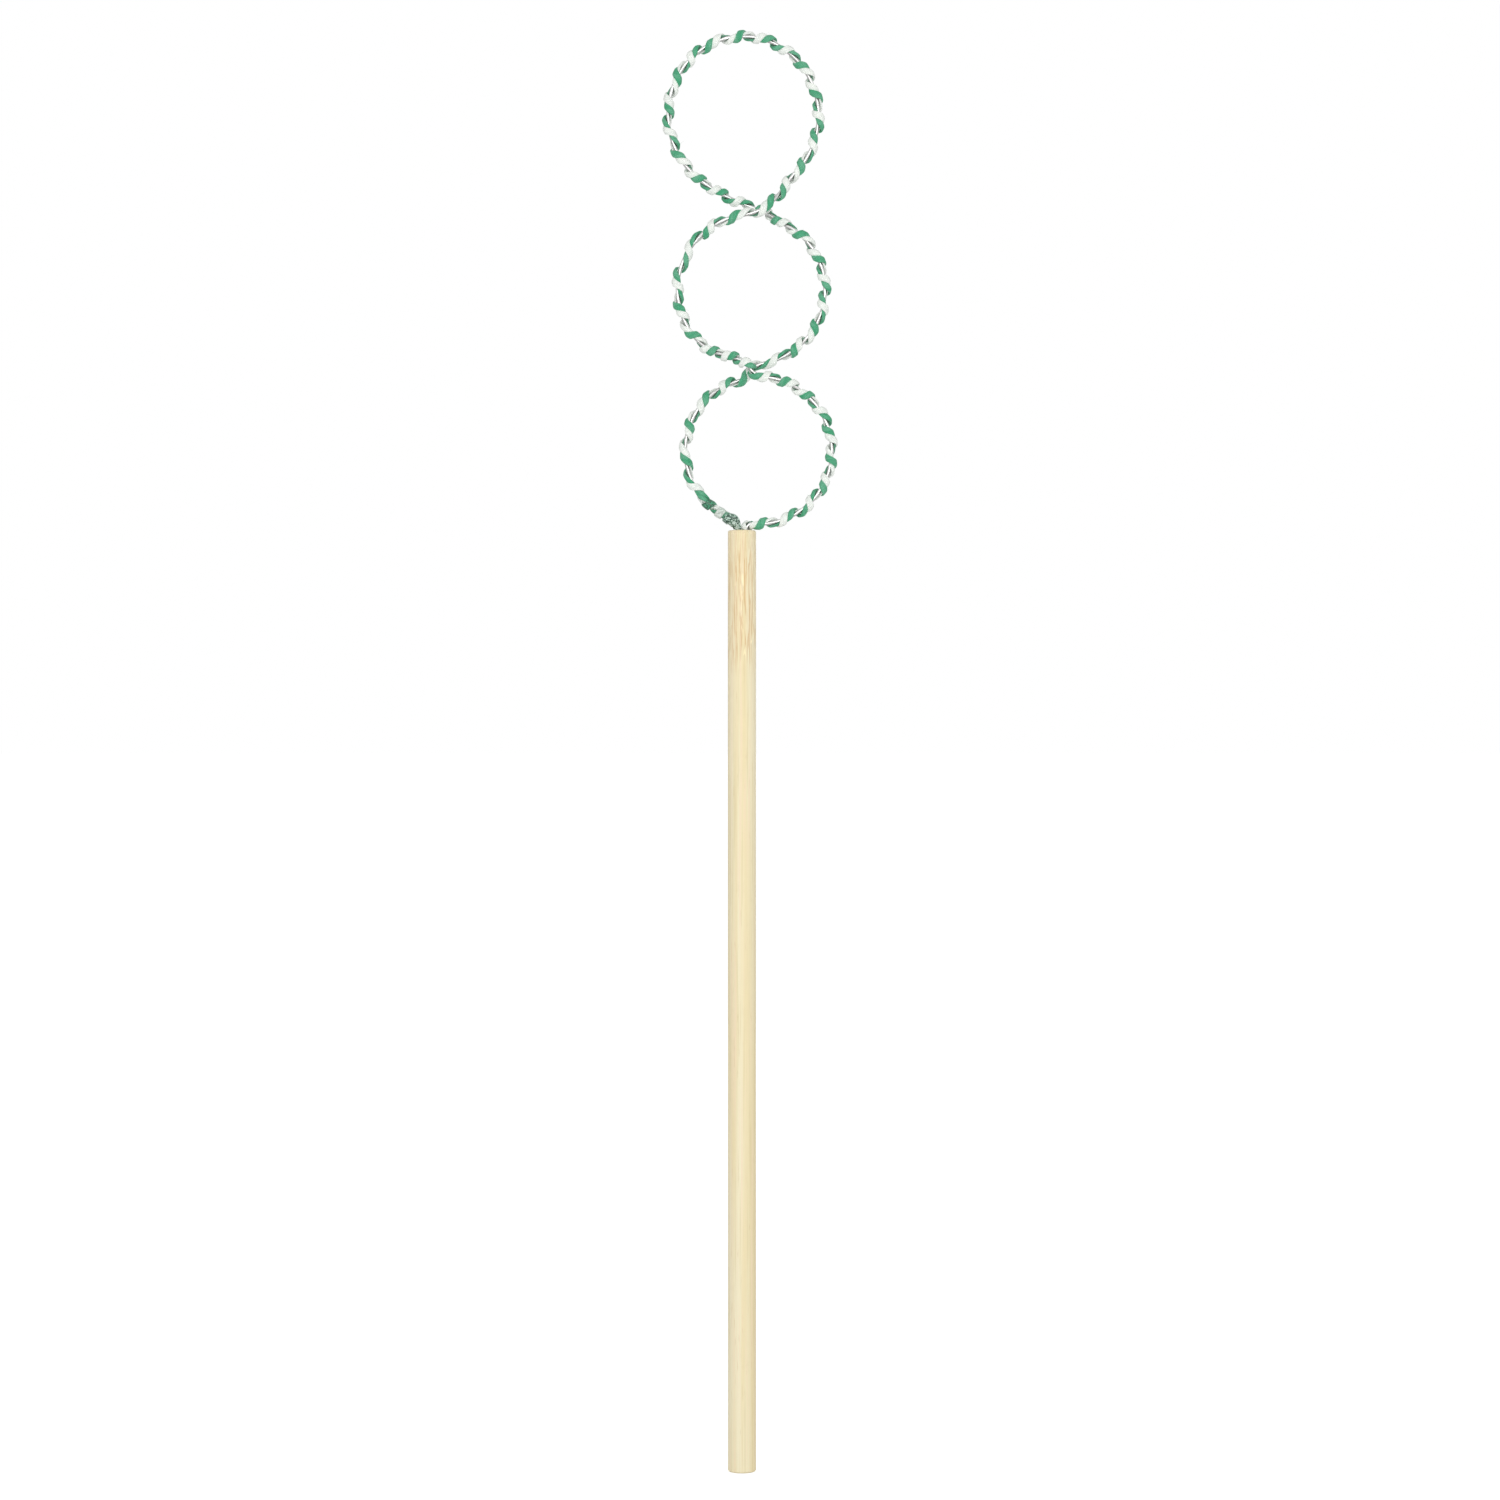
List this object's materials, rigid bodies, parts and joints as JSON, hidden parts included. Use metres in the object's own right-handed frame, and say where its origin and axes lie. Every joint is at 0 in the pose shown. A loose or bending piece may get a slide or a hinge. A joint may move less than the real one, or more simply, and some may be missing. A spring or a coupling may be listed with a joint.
{
  "type": "bubble wand",
  "caption": "Wooden rod with a chain of twine-wound wire loops on its end, for dipping in soap solution and drawing large bubbles.",
  "frame": {"origin": "centre of the rod's butt end, the end that is held", "axes": "+Z along the rod to the loops, -Y out of the loops' front face, +X to the right of the front view"},
  "size_m": [0.0375, 0.0067, 0.3067],
  "materials": {
    "bamboo": "plain sanded bamboo, fine straight grain, matt",
    "wire": "bright drawn wire",
    "glue": "clear set glue, glossy",
    "twine_green": "matt dyed cotton yarn",
    "twine_white": "matt undyed cotton yarn"
  },
  "bodies": {
    "root": {"rod": "bamboo", "wire_loops": "wire", "twine": "twine_green", "glue_plug": "glue"}
  },
  "joints": []
}
